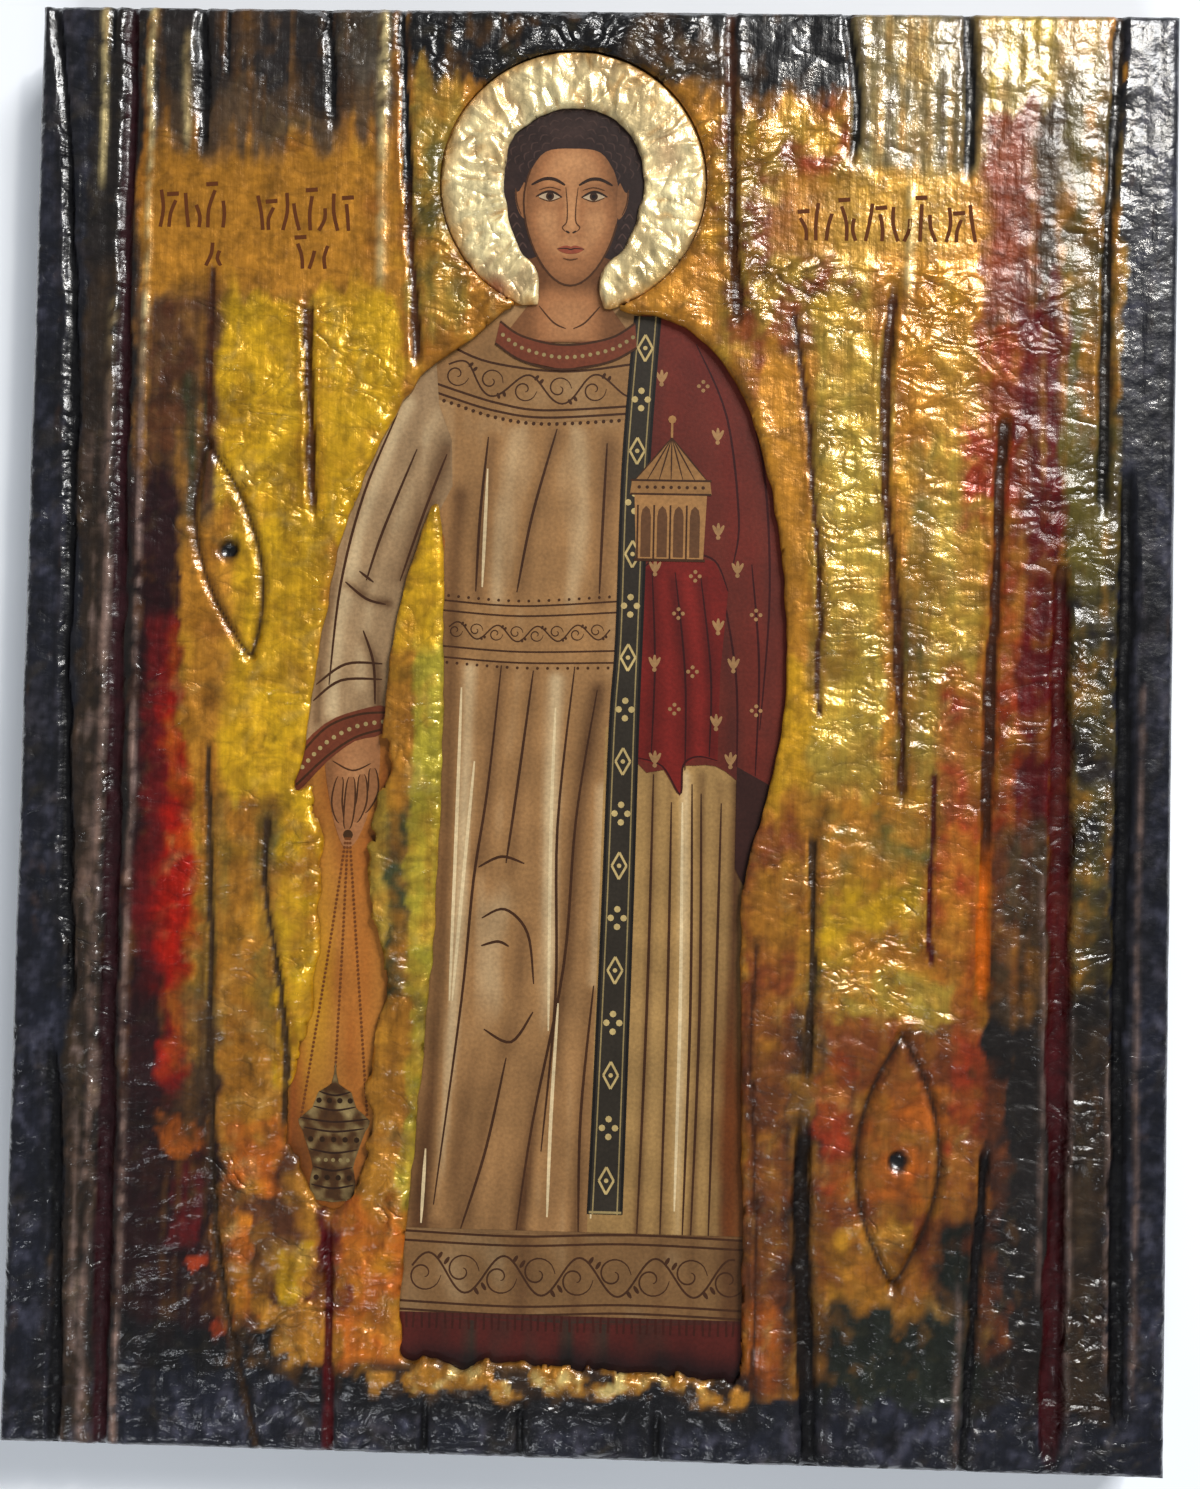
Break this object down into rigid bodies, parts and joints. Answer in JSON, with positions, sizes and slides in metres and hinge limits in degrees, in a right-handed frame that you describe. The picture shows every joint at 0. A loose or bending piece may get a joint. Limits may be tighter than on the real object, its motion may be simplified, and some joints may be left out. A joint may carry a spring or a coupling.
{
  "type": "icon panel",
  "caption": "Upright wooden icon panel with a gouged and crinkled gilt face round a painted robed figure with a bright halo.",
  "frame": {"origin": "centre of the panel's back face", "axes": "+Z out of the gilded face, +Y towards the top of the picture, +X towards its right side as seen from in front"},
  "size_m": [0.25, 0.315, 0.0191],
  "materials": {
    "stained_wood": "dark stained, satin",
    "printed_paper": "varnished",
    "stained_gilding": "crinkled gilding with amber, red and dark stains under gloss varnish",
    "bright_gilding": "bright crinkled gilding under gloss varnish"
  },
  "bodies": {
    "root": {"board": "stained_wood", "printed_sheet": "printed_paper", "gilt_cover": "stained_gilding", "halo": "bright_gilding"}
  },
  "joints": []
}
